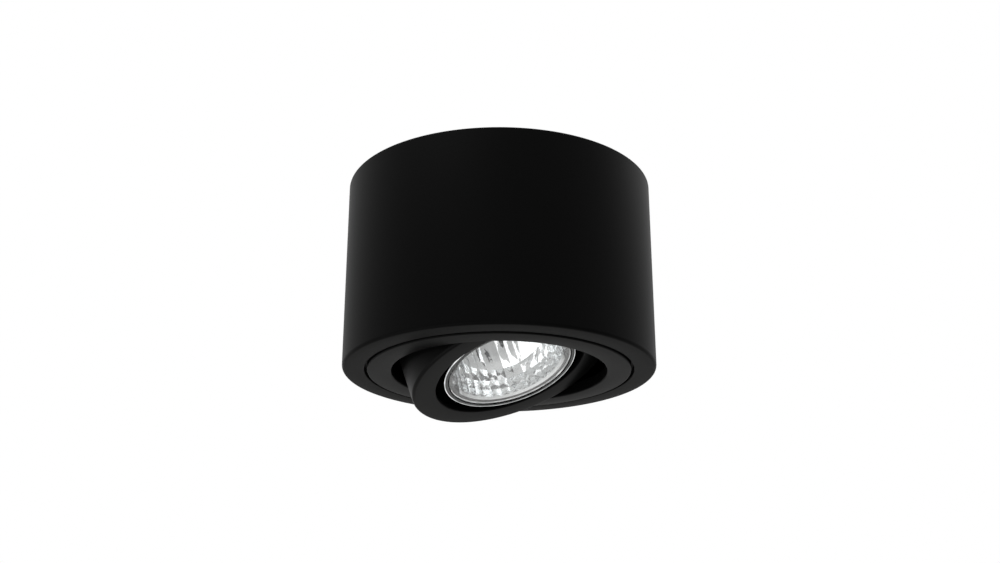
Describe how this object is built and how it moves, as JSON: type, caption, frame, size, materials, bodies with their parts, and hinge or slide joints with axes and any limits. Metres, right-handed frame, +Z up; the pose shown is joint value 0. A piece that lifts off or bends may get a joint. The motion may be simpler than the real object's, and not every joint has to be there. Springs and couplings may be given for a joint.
{
  "type": "surface mounted ceiling spotlight",
  "caption": "Round black can for the ceiling with a swivelling ring and a tilting cup that aims a twist-lock reflector lamp.",
  "frame": {"origin": "centre of the face that lies on the ceiling", "axes": "+Z points up into the ceiling, the lamp hangs below; +X is to the right in the picture and +Y is away from its camera"},
  "size_m": [0.115, 0.115, 0.0848],
  "materials": {
    "housing_coat": "matt black powder coat on aluminium",
    "ring_coat": "satin black powder coat on die-cast aluminium",
    "cup_coat": "satin black powder coat on die-cast aluminium",
    "zinc_plate": "zinc-plated steel sheet",
    "black_steel": "black oxide steel",
    "screw_steel": "zinc-plated screws",
    "spring_steel": "bright spring steel",
    "black_rubber": "matt rubber",
    "block_plastic": "moulded polyamide",
    "washer_plastic": "moulded polyamide",
    "brass": "turned brass",
    "tinned_copper": "tinned",
    "earth_sleeve": "sleeved lead, green and yellow",
    "live_sleeve": "silicone sleeve",
    "neutral_sleeve": "silicone sleeve",
    "white_ceramic": "unglazed steatite",
    "reflector_silver": "pressed glass bowl with a vapour-coated silver inside",
    "clear_glass": "clear pressed glass",
    "capsule_glass": "clear quartz",
    "tungsten": "coiled tungsten wire"
  },
  "bodies": {
    "can": {"housing": "housing_coat", "side_screws": "black_steel", "mounting_plate": "zinc_plate", "cable_bush": "black_rubber", "terminal_block": "block_plastic", "terminal_clamps": "brass", "terminal_screws": "screw_steel", "block_screws": "screw_steel", "earth_tag": "tinned_copper", "earth_screw": "screw_steel", "earth_lead": "earth_sleeve", "ring_clips": "spring_steel", "ring_clip_screws": "screw_steel", "live_lead": "live_sleeve", "neutral_lead": "neutral_sleeve"},
    "swivel": {"swivel_ring": "ring_coat", "pivot_ears": "black_steel", "ear_screws": "black_steel", "friction_washers": "washer_plastic"},
    "tilt": {"tilt_ring": "cup_coat", "lamp_strap": "black_steel", "spring_washers": "spring_steel", "pivot_screws": "black_steel", "pivot_nuts": "black_steel", "holder_body": "white_ceramic", "holder_contacts": "tinned_copper", "holder_screws": "screw_steel"},
    "lamp": {"lamp_reflector": "reflector_silver", "lamp_cover_glass": "clear_glass", "lamp_capsule": "capsule_glass", "lamp_filament": "tungsten", "capsule_wires": "tungsten", "lamp_base": "white_ceramic", "lamp_pins": "screw_steel"}
  },
  "joints": [
    {"name": "ring_swivel", "type": "hinge", "parent": "can", "child": "swivel", "pos_m": [0, 0, -0.0692], "axis": [0, 0, 1], "range_deg": [-175, 175], "deforming": ["live_lead", "neutral_lead"]},
    {"name": "head_tilt", "type": "hinge", "parent": "swivel", "child": "tilt", "pos_m": [0, 0, -0.0585], "axis": [-0.497, -0.8678, 0], "range_deg": [-51.2, 8.8]},
    {"name": "lamp_twist", "type": "hinge", "parent": "tilt", "child": "lamp", "pos_m": [0.00414, -0.00237, -0.07081], "axis": [0.2775, -0.2413, -0.9299], "range_deg": [0, 25]}
  ]
}
